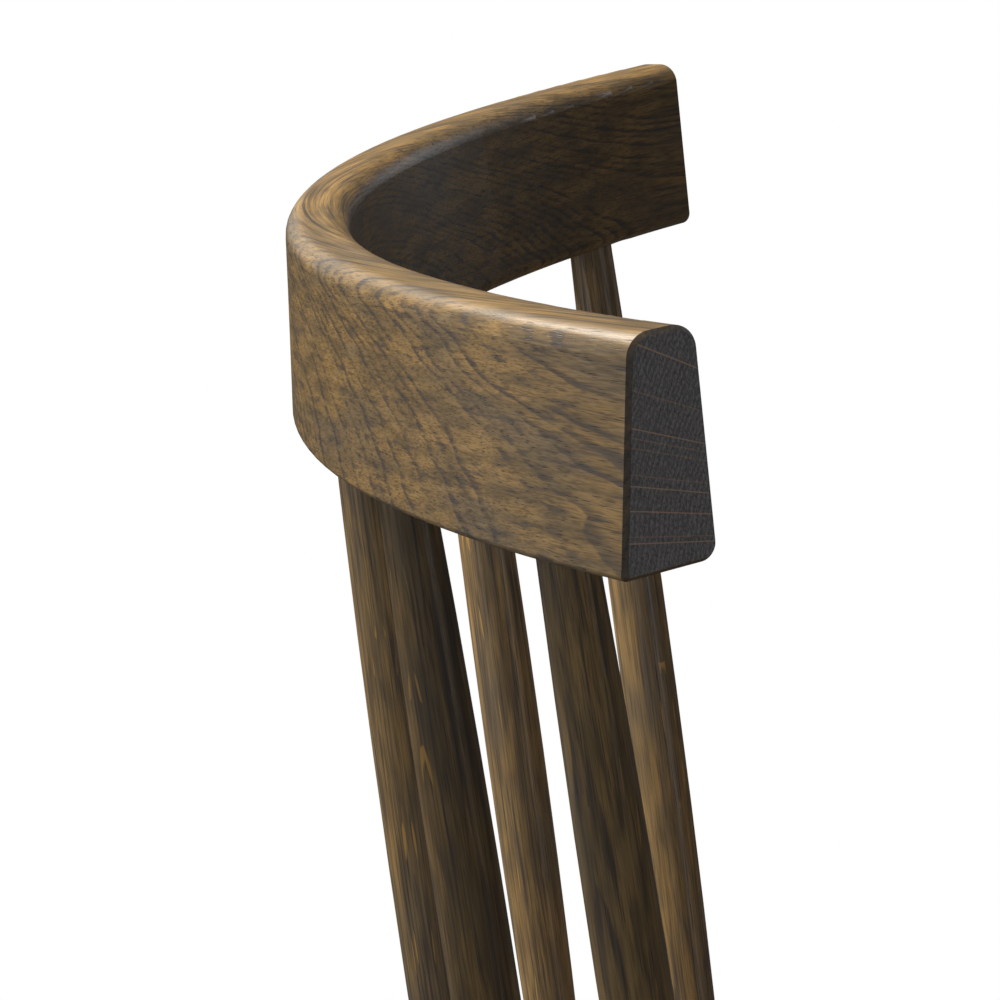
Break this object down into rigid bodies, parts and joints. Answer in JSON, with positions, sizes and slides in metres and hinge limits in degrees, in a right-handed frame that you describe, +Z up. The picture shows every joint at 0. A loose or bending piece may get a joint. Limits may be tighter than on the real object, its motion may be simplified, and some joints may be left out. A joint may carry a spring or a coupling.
{
  "type": "spindle back chair",
  "caption": "Wooden dining chair with a curved crest rail on raked, fanned turned spindles, a dished plank seat and splayed turned legs with stretchers.",
  "frame": {"origin": "on the floor, under the middle of the chair's bounding box", "axes": "+Z up, the sitter faces -Y, +X is on the right as seen from the front"},
  "size_m": [0.5146, 0.4732, 0.8657],
  "materials": {
    "smoked_oak": "oiled satin, fumed dark brown",
    "plain_oak": "oiled satin",
    "glide_plastic": "moulded, matt",
    "nail_steel": "bright"
  },
  "bodies": {
    "root": {"crest_rail": "smoked_oak", "spindle_centre": "smoked_oak", "spindle_left_inner": "smoked_oak", "spindle_right_inner": "smoked_oak", "spindle_left_outer": "smoked_oak", "spindle_right_outer": "smoked_oak", "seat_board_left": "smoked_oak", "seat_board_centre": "smoked_oak", "seat_board_right": "smoked_oak", "seat_dowels": "plain_oak", "leg_front_left": "smoked_oak", "leg_front_right": "smoked_oak", "leg_rear_left": "smoked_oak", "leg_rear_right": "smoked_oak", "stretcher_left": "smoked_oak", "stretcher_right": "smoked_oak", "stretcher_cross": "smoked_oak", "leg_wedges": "plain_oak", "glides": "glide_plastic", "glide_nails": "nail_steel"}
  },
  "joints": []
}
